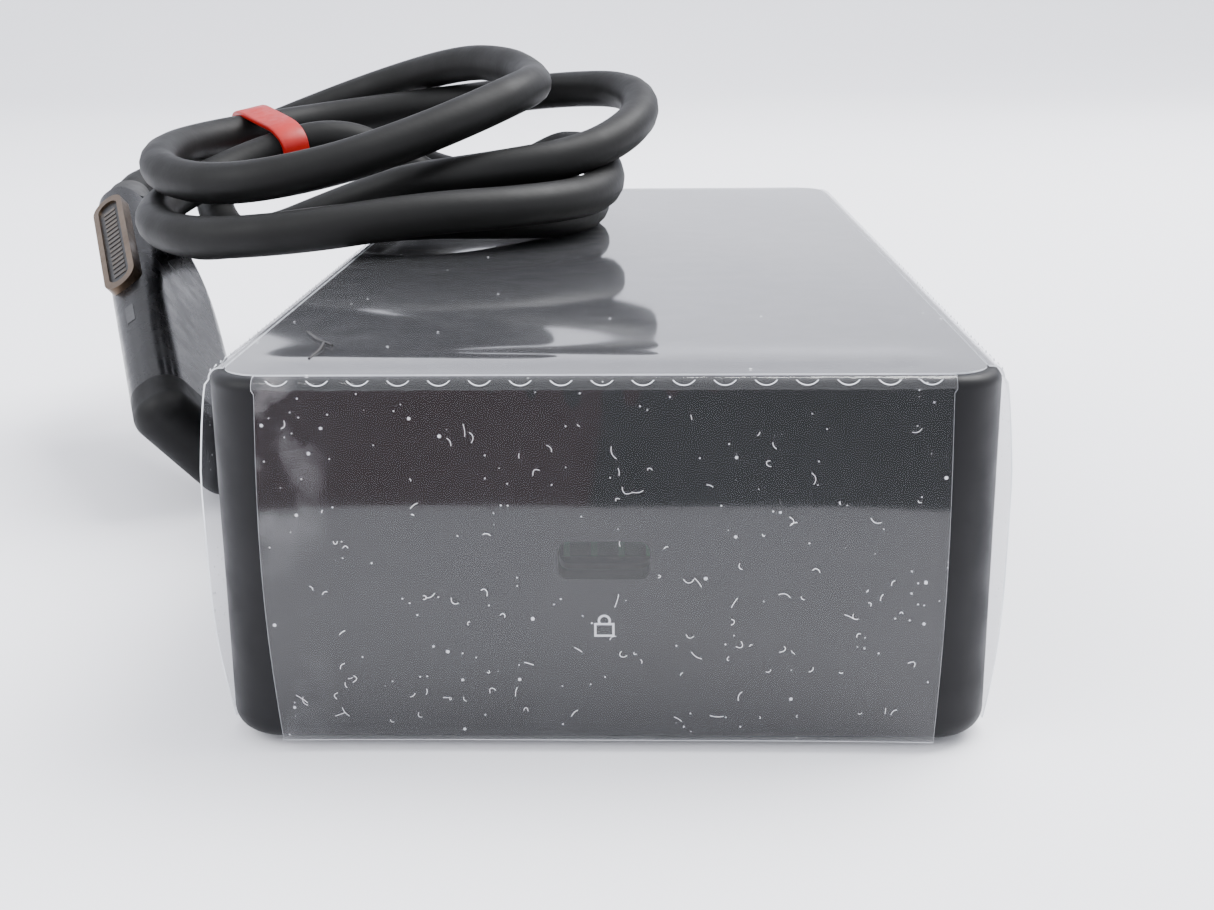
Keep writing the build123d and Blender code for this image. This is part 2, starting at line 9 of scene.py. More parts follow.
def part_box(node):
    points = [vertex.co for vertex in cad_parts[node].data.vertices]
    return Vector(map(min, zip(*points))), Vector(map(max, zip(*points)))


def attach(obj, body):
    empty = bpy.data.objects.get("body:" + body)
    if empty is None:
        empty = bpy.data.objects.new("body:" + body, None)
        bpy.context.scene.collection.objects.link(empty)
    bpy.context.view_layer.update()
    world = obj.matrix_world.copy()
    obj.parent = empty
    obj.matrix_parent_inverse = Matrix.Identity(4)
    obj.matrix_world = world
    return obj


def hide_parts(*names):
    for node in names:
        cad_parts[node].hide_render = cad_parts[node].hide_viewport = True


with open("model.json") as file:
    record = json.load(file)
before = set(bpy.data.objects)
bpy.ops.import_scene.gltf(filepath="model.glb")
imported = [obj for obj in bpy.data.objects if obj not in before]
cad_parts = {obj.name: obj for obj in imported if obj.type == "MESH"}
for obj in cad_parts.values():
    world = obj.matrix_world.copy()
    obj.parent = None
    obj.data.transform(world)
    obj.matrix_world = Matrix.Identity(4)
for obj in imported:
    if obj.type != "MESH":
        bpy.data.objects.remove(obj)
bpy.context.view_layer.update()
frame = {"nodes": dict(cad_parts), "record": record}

# A laptop docking station: a black moulded brick still in its clear protective film, with its captive
# cord wound up on top, tied in red, and its magnetic plug leaning against its left side.
# Modelling is in millimetres, turned to metres as each piece is finished.
mm = 0.001

nodes = frame["nodes"]
film_low, film_high = (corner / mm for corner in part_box("protective_film"))
half_width, half_length, film_top = film_high.x, film_high.y, film_high.z
film_foot = film_low.z
film_thickness = 0.12
port_height = 15.5


# ---------------------------------------------------------------- camera
camera_data = bpy.data.cameras.new("camera")
camera = bpy.data.objects.new("camera", camera_data)
bpy.context.scene.collection.objects.link(camera)
camera_data.lens = 46.45
camera_data.clip_start = 0.01
camera_place = Vector((3.64, -176.74, 55.52)) * mm
camera_dip, camera_heading, camera_roll = radians(15.70), radians(1.70), radians(-0.53)
camera_turn = Euler((pi / 2 - camera_dip, 0, camera_heading)).to_matrix()
camera_turn = camera_turn @ Matrix.Rotation(camera_roll, 3, "Z")
camera.matrix_world = Matrix.Translation(camera_place) @ camera_turn.to_4x4()
bpy.context.scene.camera = camera


# ---------------------------------------------------------------- modelling helpers
def deselect():
    bpy.ops.object.select_all(action="DESELECT")


def added(name):
    """The primitive that was just added, named."""
    piece = bpy.context.active_object
    piece.name = piece.data.name = name
    return piece


def settle(piece):
    """Bakes a piece's place, turn and size into its mesh."""
    piece.data.transform(piece.matrix_basis)
    piece.matrix_basis = Matrix.Identity(4)
    return piece


def to_metres(piece):
    piece.data.transform(Matrix.Scale(mm, 4))
    return piece


def finish_modifier(piece, kind, **settings):
    """Adds a modifier, sets it and applies it."""
    deselect()
    bpy.context.view_layer.objects.active = piece
    piece.select_set(True)
    modifier = piece.modifiers.new(kind.lower(), kind)
    for key, value in settings.items():
        setattr(modifier, key, value)
    bpy.ops.object.modifier_apply(modifier=modifier.name)
    return piece


def joined(pieces, name):
    """One piece made of several."""
    deselect()
    for piece in pieces:
        piece.select_set(True)
    bpy.context.view_layer.objects.active = pieces[0]
    if len(pieces) > 1:
        bpy.ops.object.join()
    return added(name)


def smooth(piece, angle):
    """Shades a piece smooth, but for edges sharper than an angle in degrees."""
    deselect()
    piece.select_set(True)
    bpy.context.view_layer.objects.active = piece
    bpy.ops.object.shade_smooth_by_angle(angle=radians(angle))
    return piece


def edit(piece, *steps):
    """Runs edit-mode operators on the whole piece."""
    deselect()
    piece.select_set(True)
    bpy.context.view_layer.objects.active = piece
    bpy.ops.object.mode_set(mode="EDIT")
    bpy.ops.mesh.select_all(action="SELECT")
    for step in steps:
        step()
    bpy.ops.object.mode_set(mode="OBJECT")
    return piece


def as_mesh(piece):
    """A curve turned into the mesh that it draws."""
    deselect()
    piece.select_set(True)
    bpy.context.view_layer.objects.active = piece
    bpy.ops.object.convert(target="MESH")
    return bpy.context.active_object


def curve_piece(name, runs, radius, material, resolution=3, sides=2):
    """Round threads along smooth lines, one NURBS spline for each list of points, in millimetres."""
    data = bpy.data.curves.new(name, "CURVE")
    data.dimensions = "3D"
    data.bevel_depth = radius * mm
    data.bevel_resolution = sides
    data.resolution_u = resolution
    data.use_fill_caps = True
    for points in runs:
        spline = data.splines.new("NURBS")
        spline.points.add(len(points) - 1)
        for control, point in zip(spline.points, points):
            control.co = (*(Vector(point) * mm), 1)
        spline.order_u = 3
        spline.use_endpoint_u = True
    piece = bpy.data.objects.new(name, data)
    bpy.context.scene.collection.objects.link(piece)
    data.materials.append(material)
    return piece


def keep(piece, slot, *replaced):
    """The piece rides on the brick and may replace CAD nodes. slot is not used."""
    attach(piece, "root")
    if replaced:
        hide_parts(*replaced)
    return piece


# ---------------------------------------------------------------- material helpers
def linear(hex_colour):
    """A hex sRGB colour as linear values, opaque."""
    channels = [int(hex_colour[i:i + 2], 16) / 255 for i in (0, 2, 4)]
    return [c / 12.92 if c <= 0.04045 else ((c + 0.055) / 1.055) ** 2.4 for c in channels] + [1.0]


def node(tree, kind, settings=None, **links):
    """Adds a node with its settings and its inputs. An input is named with _ for a space, or by its number
    as i0, i1 and so on, and takes a value or another node's output."""
    made = tree.nodes.new(kind)
    for key, value in (settings or {}).items():
        setattr(made, key, value)
    for key, value in links.items():
        numbered = key[0] == "i" and key[1:].isdigit()
        socket = made.inputs[int(key[1:])] if numbered else made.inputs[key.replace("_", " ")]
        if isinstance(value, bpy.types.NodeSocket):
            tree.links.new(value, socket)
        else:
            socket.default_value = value
    return made


def new_material(name):
    """A material with empty nodes but for its output, and its object coordinates in millimetres."""
    material = bpy.data.materials.new(name)
    material.use_nodes = True
    tree = material.node_tree
    tree.nodes.clear()
    place = node(tree, "ShaderNodeTexCoord").outputs["Object"]
    scaled = node(tree, "ShaderNodeVectorMath", {"operation": "SCALE"}, i0=place, Scale=1 / mm)
    output = node(tree, "ShaderNodeOutputMaterial")
    return material, tree, scaled.outputs[0], output.inputs["Surface"]


def noise(tree, place, size, detail=2.0):
    """Noise from 0 to 1 whose features are about size millimetres."""
    return node(tree, "ShaderNodeTexNoise", Vector=place, Scale=1 / size, Detail=detail).outputs["Fac"]


def between(tree, value, low, high, to_low=0.0, to_high=1.0):
    """Maps a value from one range to another, clamped."""
    return node(tree, "ShaderNodeMapRange", i0=value, i1=low, i2=high, i3=to_low, i4=to_high).outputs[0]


def blend_colour(tree, share, first, second):
    mixed = node(tree, "ShaderNodeMix", {"data_type": "RGBA"}, i0=share, i6=first, i7=second)
    return mixed.outputs[2]


def solid(name, colour, worn, roughness, metallic=0.0, ior=1.5, grain=0.3, depth=0.01, patch=6.0,
          rough_swing=0.08, coat=0.0, stretch=(1, 1, 1)):
    """An opaque finish: two near tones in soft patches, a fine grain in the surface, and a gloss that
    varies a little from place to place. grain and patch are sizes and depth is the grain's depth, all in
    millimetres."""
    material, tree, place, surface = new_material(name)
    stretched = node(tree, "ShaderNodeVectorMath", {"operation": "MULTIPLY"}, i0=place, i1=stretch).outputs[0]
    wear = between(tree, noise(tree, place, patch, 4.0), 0.35, 0.65)
    tone = blend_colour(tree, wear, linear(colour), linear(worn))
    fine = noise(tree, stretched, grain, 3.0)
    smoothest, roughest = roughness - rough_swing, roughness + rough_swing
    gloss = between(tree, noise(tree, place, patch / 3, 3.0), 0.3, 0.7, smoothest, roughest)
    bump = node(tree, "ShaderNodeBump", Strength=0.6, Distance=depth * mm, Height=fine).outputs[0]
    shader = node(tree, "ShaderNodeBsdfPrincipled", Base_Color=tone, Roughness=gloss, Normal=bump,
                  Metallic=metallic, IOR=ior, Coat_Weight=coat)
    tree.links.new(shader.outputs[0], surface)
    return material


# ---------------------------------------------------------------- finishes
def polycarbonate_moulded():
    """Spark-eroded PC/ABS: black, with a fine even grain that keeps its highlights soft."""
    return solid("polycarbonate_moulded", "0d0d0f", "111113", 0.48, ior=1.27, grain=0.22, depth=0.0015,
                 patch=9)


def polypropylene_floor():
    """The hidden floor plate's plainer moulding, a little duller than the housing."""
    return solid("polypropylene_floor", "171719", "1c1c1e", 0.6, grain=0.4, depth=0.012)


def silicone_pad():
    """Die-cut silicone rubber foot: dull, dusty black."""
    return solid("silicone_pad", "121212", "1b1b1b", 0.82, grain=0.5, depth=0.02)


def elastomer_jacket():
    """The cord's extruded TPE jacket: matte black, with a faint unevenness that breaks up its highlights."""
    return solid("elastomer_jacket", "070707", "0c0c0c", 0.55, grain=0.7, depth=0.03, patch=14,
                 rough_swing=0.06, ior=1.28)


def elastomer_gland():
    """The strain relief, moulded in the same elastomer but smoother."""
    return solid("elastomer_gland", "19191a", "202021", 0.55, grain=0.4, depth=0.015)


def silicone_tie():
    """Dyed silicone: saturated red with a satin shine."""
    return solid("silicone_tie", "8e0705", "9b0e09", 0.42, grain=0.5, depth=0.02, patch=3, ior=1.36)


def steel(name, colour, worn, roughness, stretch=(1, 1, 1)):
    """Sheet or turned steel, with rolling or brushing lines along its stretch."""
    return solid(name, colour, worn, roughness, metallic=1.0, grain=0.25, depth=0.006, patch=4,
                 stretch=stretch)


def circuit_laminate():
    """Glass-epoxy board under green solder mask, with lighter copper runs showing through."""
    material, tree, place, surface = new_material("circuit_laminate")
    runs = node(tree, "ShaderNodeTexBrick", {"offset": 0.5, "squash": 1.0}, Vector=place, Scale=0.22,
                Mortar_Size=0.06, Color1=linear("14402c"), Color2=linear("17492f"),
                Mortar=linear("2a6b45")).outputs[0]
    shader = node(tree, "ShaderNodeBsdfPrincipled", Base_Color=runs, Roughness=0.32)
    tree.links.new(shader.outputs[0], surface)
    return material


finishes = {
    "housing": polycarbonate_moulded(),
    "base_plastic": polypropylene_floor(),
    "pad_rubber": silicone_pad(),
    "screw_steel": steel("zinc_plated_steel", "8d8f92", "9a9c9f", 0.34),
    "lock_steel": steel("satin_steel", "a9abaf", "b6b8bc", 0.38, (1, 1, 6)),
    "ballast_steel": steel("rolled_steel", "74777c", "84878c", 0.45, (1, 6, 1)),
    "spreader_aluminium": solid("cast_aluminium", "b4b7ba", "c0c2c5", 0.5, metallic=1.0, grain=0.5,
                                depth=0.02),
    "circuit_board": circuit_laminate(),
    "chip_epoxy": solid("moulded_epoxy", "19191a", "212122", 0.6, grain=0.15),
    "thermal_pad": solid("filled_silicone", "8298ab", "94a9ba", 0.75, grain=0.6, depth=0.02),
    "inductor_ferrite": solid("pressed_ferrite", "434447", "505154", 0.65, grain=0.3),
    "capacitor_can": solid("drawn_aluminium", "bec0c3", "cacccf", 0.28, metallic=1.0, grain=0.2,
                           stretch=(1, 1, 5)),
    "transformer_epoxy": solid("cast_epoxy", "131314", "1a1a1b", 0.35, grain=0.4),
    "socket_steel": steel("tin_plated_steel", "a3a5a8", "b2b4b7", 0.3, (6, 1, 1)),
    "socket_plastic": solid("liquid_crystal_polymer", "141416", "1b1b1e", 0.5, grain=0.2),
    "contact_gold": solid("gold_flash", "d2a94f", "debb69", 0.25, metallic=1.0, grain=0.2, depth=0.004),
    "lamp_plastic": solid("tinted_light_guide", "c3d098", "d0dba8", 0.2, grain=0.8, depth=0.004, coat=0.5),
    "gland_rubber": elastomer_gland(),
    "cord_jacket": elastomer_jacket(),
    "ferrule_steel": steel("crimped_steel", "909296", "a0a2a6", 0.36),
    "header_plastic": solid("natural_nylon", "dfdacc", "ebe7db", 0.5, grain=0.3),
    "wire_insulation": solid("fluoropolymer_insulation", "a93a2a", "b84a39", 0.35, grain=0.5),
    "tie_rubber": silicone_tie(),
    "plug_plastic": solid("polycarbonate_plug", "101012", "161618", 0.26, ior=1.34, grain=0.25, depth=0.01,
                          patch=8),
    "cap_plastic": solid("acetal_cap", "060607", "0a0a0b", 0.5, ior=1.27, grain=0.25, depth=0.008, patch=6),
    "blade_metal": solid("nickel_plated_brass", "5a4c3f", "6b5c4d", 0.36, metallic=1.0, grain=0.2,
                         depth=0.005, patch=5),
    "magnet_nickel": steel("nickel_plated_magnet", "bebfc1", "cacbcd", 0.2),
    "lamp_lens": solid("smoked_lens", "1f1f21", "29292b", 0.22, grain=0.5, depth=0.004),
}


def clear_film(name, index, dust, haze, stain=0.0):
    """Polyester film, clear and glossy. index sets how strongly its two faces mirror between them, dust how
    much of it carries specks, haze how milky it is, and stain how brown its rubbed left edge is, which is
    worst near the fold."""
    material, tree, place, surface = new_material(name)
    facing = node(tree, "ShaderNodeNewGeometry").outputs["Backfacing"]
    single = node(tree, "ShaderNodeFresnel", IOR=index).outputs[0]
    front = node(tree, "ShaderNodeMath", {"operation": "SUBTRACT"}, i0=1.0, i1=facing).outputs[0]
    mirror = node(tree, "ShaderNodeMath", {"operation": "MULTIPLY"}, i0=single, i1=front).outputs[0]
    # Slack in the film: long shallow ripples that bend what it mirrors.
    ripple = noise(tree, place, 22.0, 1.0)
    bump = node(tree, "ShaderNodeBump", Strength=0.35, Distance=0.25 * mm, Height=ripple).outputs[0]
    gloss = node(tree, "ShaderNodeBsdfGlossy", Color=linear("ffffff"), Roughness=0.05, Normal=bump).outputs[0]
    clear = node(tree, "ShaderNodeBsdfTransparent", Color=linear("fcfcfd")).outputs[0]
    body = node(tree, "ShaderNodeMixShader", i0=mirror, i1=clear, i2=gloss).outputs[0]
    # Specks of dust about 0.3 mm across, gathered in drifts, and ones half that size between them.
    drift = between(tree, noise(tree, place, 9.0, 3.0), 0.45, 0.75, 0.02, dust)
    coarse_spacing, fine_spacing = 1.1, 0.55
    specks = []
    for spacing in (coarse_spacing, fine_spacing):
        cell = node(tree, "ShaderNodeTexVoronoi", Vector=place, Scale=1 / spacing, Randomness=1.0)
        chance = node(tree, "ShaderNodeSeparateColor", Color=cell.outputs["Color"]).outputs[0]
        chosen = node(tree, "ShaderNodeMath", {"operation": "LESS_THAN"}, i0=chance, i1=drift).outputs[0]
        near = between(tree, cell.outputs["Distance"], 0.15, 0.10)
        specks.append(node(tree, "ShaderNodeMath", {"operation": "MULTIPLY"}, i0=chosen, i1=near).outputs[0])
    dusty = node(tree, "ShaderNodeMath", {"operation": "MAXIMUM"}, i0=specks[0], i1=specks[1]).outputs[0]
    cover = node(tree, "ShaderNodeMath", {"operation": "MULTIPLY_ADD", "use_clamp": True}, i0=dusty, i1=0.75,
                 i2=haze).outputs[0]
    tint = linear("dadbe0")
    if stain:
        apart = node(tree, "ShaderNodeSeparateXYZ", i0=place)
        low = between(tree, apart.outputs[2], 17.0, 25.0, 0.15, 1.0)
        edge = node(tree, "ShaderNodeMath", {"operation": "MULTIPLY"}, i0=low,
                    i1=between(tree, apart.outputs[0], -20.5, -26.5)).outputs[0]
        rubbed = between(tree, noise(tree, place, 4.0, 5.0), 0.45, 0.7)
        brown = node(tree, "ShaderNodeMath", {"operation": "MULTIPLY"}, i0=edge, i1=rubbed).outputs[0]
        tint = blend_colour(tree, brown, tint, linear("8a6a4c"))
        cover = node(tree, "ShaderNodeMath", {"operation": "MULTIPLY_ADD", "use_clamp": True}, i0=brown,
                     i1=stain, i2=cover).outputs[0]
    matter = node(tree, "ShaderNodeBsdfDiffuse", Color=tint).outputs[0]
    result = node(tree, "ShaderNodeMixShader", i0=cover, i1=body, i2=matter).outputs[0]
    tree.links.new(result, surface)
    return material


def painted_rim_glint():
    """The film's cut edge, given a white finish that is a painted highlight: the clear edge gathers light and
    looks white.
    """
    return solid("film_rim_glint_paint", "c9ccd2", "e4e6ea", 0.3, grain=0.5, depth=0.004)


film_end_finish = clear_film("polyester_film_end", 1.47, 0.20, 0.006, 0.22)
film_top_finish = clear_film("polyester_film_top", 1.85, 0.015, 0.01)
film_side_finish = clear_film("polyester_film_side", 1.5, 0.55, 0.04)
# The white rim finish is a painted highlight for the light that the film's cut edges gather.
film_rim_painted_glint = painted_rim_glint()
plug_contact_finish = solid("dulled_contact", "2c2620", "3a3229", 0.45, grain=0.2, depth=0.004, patch=2)


# ---------------------------------------------------------------- cord
gland_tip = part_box("cord_gland")[1].y / mm
cord_diameter = 4.8

# From the gland to the coil, and from the coil to the plug's sleeve.
lead_route = [
    (0.0, gland_tip, port_height),
    (0.0, gland_tip + 9.0, port_height),
    (-3.5, gland_tip + 18.5, 16.5),
    (-11.5, gland_tip + 25.0, 19.5),
    (-21.5, gland_tip + 26.5, 22.8),
    (-32.5, gland_tip + 24.0, 25.0),
    (-42.0, gland_tip + 17.0, 25.2),
    (-50.0, gland_tip + 6.5, 24.2),
    (-56.5, 78.0, 22.2),
    (-58.5, 57.0, 23.4),
    (-59.3, 32.5, 27.7),
]
tail_route = [
    (-52.7, 58.8, 39.8),
    (-57.5, 60.0, 37.6),
    (-65.2, 56.2, 34.2),
    (-69.0, 50.3, 32.7),
    (-69.95, 43.6, 31.75),
    (-67.82, 38.26, 29.38),
]
# The loose turns: how far each reaches from the coil's middle and how high it lies, at seven places a
# turn, starting at the left and going towards the lock end.
coil_middle = (-28.0, 24.0)
places_a_turn = 7
points_a_turn = 14
first_point, coil_points = 1, 53
turn_reach = [
    29.5, 24.0, 23.0, 24.5, 23.5, 14.5, 17.5,
    29.0, 33.0, 28.0, 29.0, 23.0, 26.5, 38.0,
    23.5, 13.0, 14.0, 27.0, 32.5, 28.5, 30.5,
    31.0, 28.0, 18.5, 17.0, 18.0, 26.0, 44.5,
]
turn_height = [
    28.0, 31.0, 33.5, 32.0, 33.0, 33.0, 40.5,
    34.0, 31.5, 34.5, 35.0, 39.0, 32.5, 40.0,
    28.5, 32.5, 36.5, 39.5, 46.0, 44.0, 41.0,
    39.0, 37.0, 42.0, 46.5, 47.5, 49.5, 42.0,
]


def eased(values, place):
    """A smooth curve through evenly spaced values."""
    n = min(max(floor(place), 0), len(values) - 2)
    f = place - n
    a, b, c, d = (values[min(max(n + k, 0), len(values) - 1)] for k in (-1, 0, 1, 2))
    return (2 * b + (c - a) * f + (2 * a - 5 * b + 4 * c - d) * f ** 2 + (3 * b - a - 3 * c + d) * f ** 3) / 2


def coil_turns():
    turns = []
    for n in range(first_point, first_point + coil_points):
        angle = pi + tau * n / points_a_turn
        place = n * places_a_turn / points_a_turn
        reach, height = eased(turn_reach, place), eased(turn_height, place)
        turns.append((coil_middle[0] + reach * cos(angle), coil_middle[1] + reach * sin(angle), height))
    return turns


cord_route = lead_route + coil_turns() + tail_route
cord = curve_piece("cord", [cord_route], cord_diameter / 2, finishes["cord_jacket"], resolution=10, sides=6)
keep(cord, "cord_jacket", "cord_lead", "cord_coil", "cord_tail")


# ---------------------------------------------------------------- red tie
tie_centre = Vector((-48.2, 39.3, 39.7))
tie_turn = Euler((0, radians(79.6), radians(35.5))).to_matrix() @ Matrix.Rotation(radians(100), 3, "Z")
tie_reach, tie_rise, tie_width, tie_wall = 7.7, 2.75, 3.8, 0.75


def red_tie():
    """A moulded band round two runs of the cord: an oval ring with soft edges, pinched between the runs,
    with a round eye and a tail where it is pulled through itself."""
    deselect()
    bpy.ops.mesh.primitive_cylinder_add(vertices=72, radius=1, depth=tie_width, end_fill_type="NOTHING")
    band = added("band")
    for vertex in band.data.vertices:
        angle = atan2(vertex.co.y, vertex.co.x)
        pinch = 1 - 0.10 * cos(2 * angle) ** 2 * (abs(sin(angle)) > 0.7)
        vertex.co.x = tie_reach * (abs(cos(angle)) ** 0.8) * (1 if cos(angle) > 0 else -1)
        vertex.co.y = tie_rise * (abs(sin(angle)) ** 0.62) * (1 if sin(angle) > 0 else -1) * pinch
        vertex.co.z *= 1 + 0.10 * sin(angle + 0.6)
    finish_modifier(band, "SOLIDIFY", thickness=tie_wall, offset=1.0)
    finish_modifier(band, "BEVEL", width=0.22, segments=3, limit_method="ANGLE", angle_limit=radians(40))
    bpy.ops.mesh.primitive_torus_add(location=(3.4, -3.7, 0.2), rotation=(pi / 2, 0, 0.2), major_segments=36,
                                     minor_segments=12, major_radius=1.7, minor_radius=0.55)
    eye = settle(added("eye"))
    tail_length, tail_start = 6.4, -2.6
    bpy.ops.mesh.primitive_cube_add(size=1, location=(tail_start + tail_length / 2, -4.1, 0.9),
                                    scale=(tail_length, 0.8, 2.3))
    tail = settle(added("tail"))
    edit(tail, lambda: bpy.ops.mesh.subdivide(number_cuts=6))
    for vertex in tail.data.vertices:
        along = (vertex.co.x - tail_start) / tail_length
        vertex.co.y -= 0.5 * sin(pi * along)
        vertex.co.z += 0.5 * along ** 2
    finish_modifier(tail, "BEVEL", width=0.2, segments=2, limit_method="ANGLE", angle_limit=radians(50))
    piece = joined([band, eye, tail], "red_tie")
    piece.data.transform(Matrix.Translation(tie_centre) @ tie_turn.to_4x4())
    piece.data.materials.append(finishes["tie_rubber"])
    return keep(smooth(to_metres(piece), 60), "tie_rubber", "cord_tie")


tie = red_tie()


# ---------------------------------------------------------------- clear film
fold_radius = 0.92
lip = 0.30
fold_arc = fold_radius * pi / 2
drop = film_top - fold_radius - film_foot
perforation_pitch = 3.0
tab_spring = 0.10
column_width = 0.5
end_flap_half, side_flap_half = 25.7, 61.2


def fold_rows():
    """Distances across a folded strip: its lip on the top, its fold, and the flap that hangs from it, in
    rows that are close together near the fold."""
    fold_steps, flap_steps = 9, 16
    near_fold = (0.3, 0.7, 1.3, 2.2, 3.5, 5.0)
    flap_start = lip + fold_arc
    rows = [0.0] + [lip + fold_arc * k / fold_steps for k in range(fold_steps + 1)]
    rows += [flap_start + step for step in near_fold]
    rest = drop - near_fold[-1]
    return rows + [flap_start + near_fold[-1] + rest * k / flap_steps for k in range(1, flap_steps + 1)]


def folded_strip(name, reach, half_run, half_at, spring, finish, turn):
    """One flap of film with its fold, modelled hanging on the -Y side and then turned to its own side.
    half_at gives how far the flap runs each way at a depth, and spring how far it stands off."""
    rows = fold_rows()
    columns = int(2 * half_run / column_width)
    deselect()
    bpy.ops.mesh.primitive_grid_add(x_subdivisions=columns, y_subdivisions=len(rows) - 1, size=2)
    strip = added(name)
    bent = reach - fold_radius
    for vertex in strip.data.vertices:
        u = vertex.co.x
        s = rows[round((vertex.co.y + 1) / 2 * (len(rows) - 1))]
        depth = s - lip - fold_arc
        x = u * half_run
        # Tabs between the punched cuts spring out a little, so that the fold is scalloped.
        tab = tab_spring * (0.5 + 0.5 * cos(tau * x / perforation_pitch))
        if s < lip:
            y, z = -(bent - lip + s), film_top
        elif depth <= 0:
            turned = (s - lip) / fold_radius
            puff = fold_radius + tab * sin(turned) ** 2
            y, z = -(bent + puff * sin(turned)), film_top - fold_radius + puff * cos(turned)
        else:
            left, right = half_at(depth / drop)
            x = u * (right if u > 0 else left)
            y = -(reach + tab * exp(-depth ** 2) + spring(abs(x), depth / drop))
            z = film_top - fold_radius - depth
        vertex.co = (x, y, z)
    edit(strip, lambda: bpy.ops.mesh.normals_make_consistent(inside=False))
    lowest = min(strip.data.polygons, key=lambda face: face.center.z)
    if lowest.normal.y > 0:
        strip.data.flip_normals()
    strip.data.transform(Matrix.Rotation(turn, 4, "Z"))
    strip.data.materials.append(finish)
    # The rim of the solidified flap takes the white painted highlight of the cut edge.
    strip.data.materials.append(film_rim_painted_glint)
    finish_modifier(strip, "SOLIDIFY", thickness=film_thickness, offset=-1.0, material_offset_rim=1)
    return strip


def end_half(depth):
    """The end flap bulges a little and narrows towards its foot."""
    bulge = 0.4 * sin(pi * depth)
    return end_flap_half + bulge - 0.5 * depth ** 3, end_flap_half + 0.5 * bulge - 0.3 * depth ** 3


def end_spring(across, depth):
    """The end flap stands off a little halfway down and at the corners of its foot."""
    return 0.10 * sin(pi * depth) + 0.25 * depth ** 2 * (across / 26) ** 4


def side_half(depth):
    """The side flap runs past the rounded corners in a bow, and its foot is rounded."""
    bow = 3.0 * min(depth / 0.25, 1) ** 0.6 - 3.4 * max(depth - 0.55, 0) ** 2 / 0.2
    return side_flap_half + bow, side_flap_half + bow


def side_spring(across, depth):
    """Past the corners nothing backs the flap, and it stands off a little, but not at its foot."""
    return 0.06 * sin(pi * depth) + 0.35 * (max(across - 55, 0) / 10) ** 1.5 * (1 - depth ** 2)


def window(y, width, height, corner, side):
    """A cutter for a socket's window in a side flap."""
    deselect()
    bpy.ops.mesh.primitive_cube_add(size=1, location=(side * half_width, y, port_height),
                                    scale=(6, width, height))
    cutter = settle(added("cutter"))
    bpy.ops.object.mode_set(mode="EDIT")
    bpy.ops.mesh.select_mode(type="EDGE")
    bpy.ops.mesh.select_all(action="DESELECT")
    bpy.ops.object.mode_set(mode="OBJECT")
    for edge in cutter.data.edges:
        a, b = (cutter.data.vertices[v].co for v in edge.vertices)
        edge.select = abs(a.x - b.x) > 1
    bpy.ops.object.mode_set(mode="EDIT")
    bpy.ops.mesh.bevel(offset=corner, segments=8)
    bpy.ops.object.mode_set(mode="OBJECT")
    return cutter


def cut(piece, cutters):
    """Cuts all the cutters out of a piece at once."""
    tool = joined(cutters, "windows")
    finish_modifier(piece, "BOOLEAN", operation="DIFFERENCE", object=tool, solver="EXACT")
    bpy.data.objects.remove(tool)
    return piece


def socket_windows(side):
    """Window places and sizes come from the sockets themselves, with a margin round each."""
    margin = 1.2
    shells = [n for n in nodes if n.endswith(("_shell", "_shield")) and n != "top_shell"]
    shells += ["audio_socket_body", "power_socket_body"]
    made = []
    for name in shells:
        low, high = (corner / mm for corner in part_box(name))
        if (high.x > 0) != (side > 0):
            continue
        wide, tall = high.y - low.y + 2 * margin, high.z - low.z + 2 * margin
        middle = (low.y + high.y) / 2
        # The big sockets' windows are squarish, and the rest have round ends.
        corner = 1.5 if tall > 7.5 and wide > 12 else min(wide, tall) / 2 - 0.05
        made.append(window(middle, wide, tall, corner, side))
    return made


def film_panel():
    """The film on the flat top: a rounded sheet, slack enough to ripple, lifted a little at the lock end."""
    gap, corner = 0.05, 3.4
    across, along = half_width - fold_radius - lip - gap, half_length - fold_radius - lip - gap
    deselect()
    bpy.ops.mesh.primitive_grid_add(x_subdivisions=58, y_subdivisions=128, size=2)
    panel = added("film_top")
    for vertex in panel.data.vertices:
        x, y = vertex.co.x * across, vertex.co.y * along
        dx, dy = abs(x) - (across - corner), abs(y) - (along - corner)
        if dx > 0 and dy > 0:
            pull = max(dx, dy) / hypot(dx, dy)
            x = (across - corner + dx * pull) * (1 if x > 0 else -1)
            y = (along - corner + dy * pull) * (1 if y > 0 else -1)
        inside = min(1, (across - abs(x)) / 6, (along - abs(y)) / 3)
        lift = 0.16 * exp(-((y + along - 5) / 3.5) ** 2) + 0.03 * (1 + sin(x / 7.0 + y / 11.0))
        vertex.co = (x, y, film_top + max(inside, 0) * lift)
    panel.data.materials.append(film_top_finish)
    # The rim of the solidified panel takes the white painted highlight of the cut edge.
    panel.data.materials.append(film_rim_painted_glint)
    return finish_modifier(panel, "SOLIDIFY", thickness=film_thickness, offset=-1.0, material_offset_rim=1)


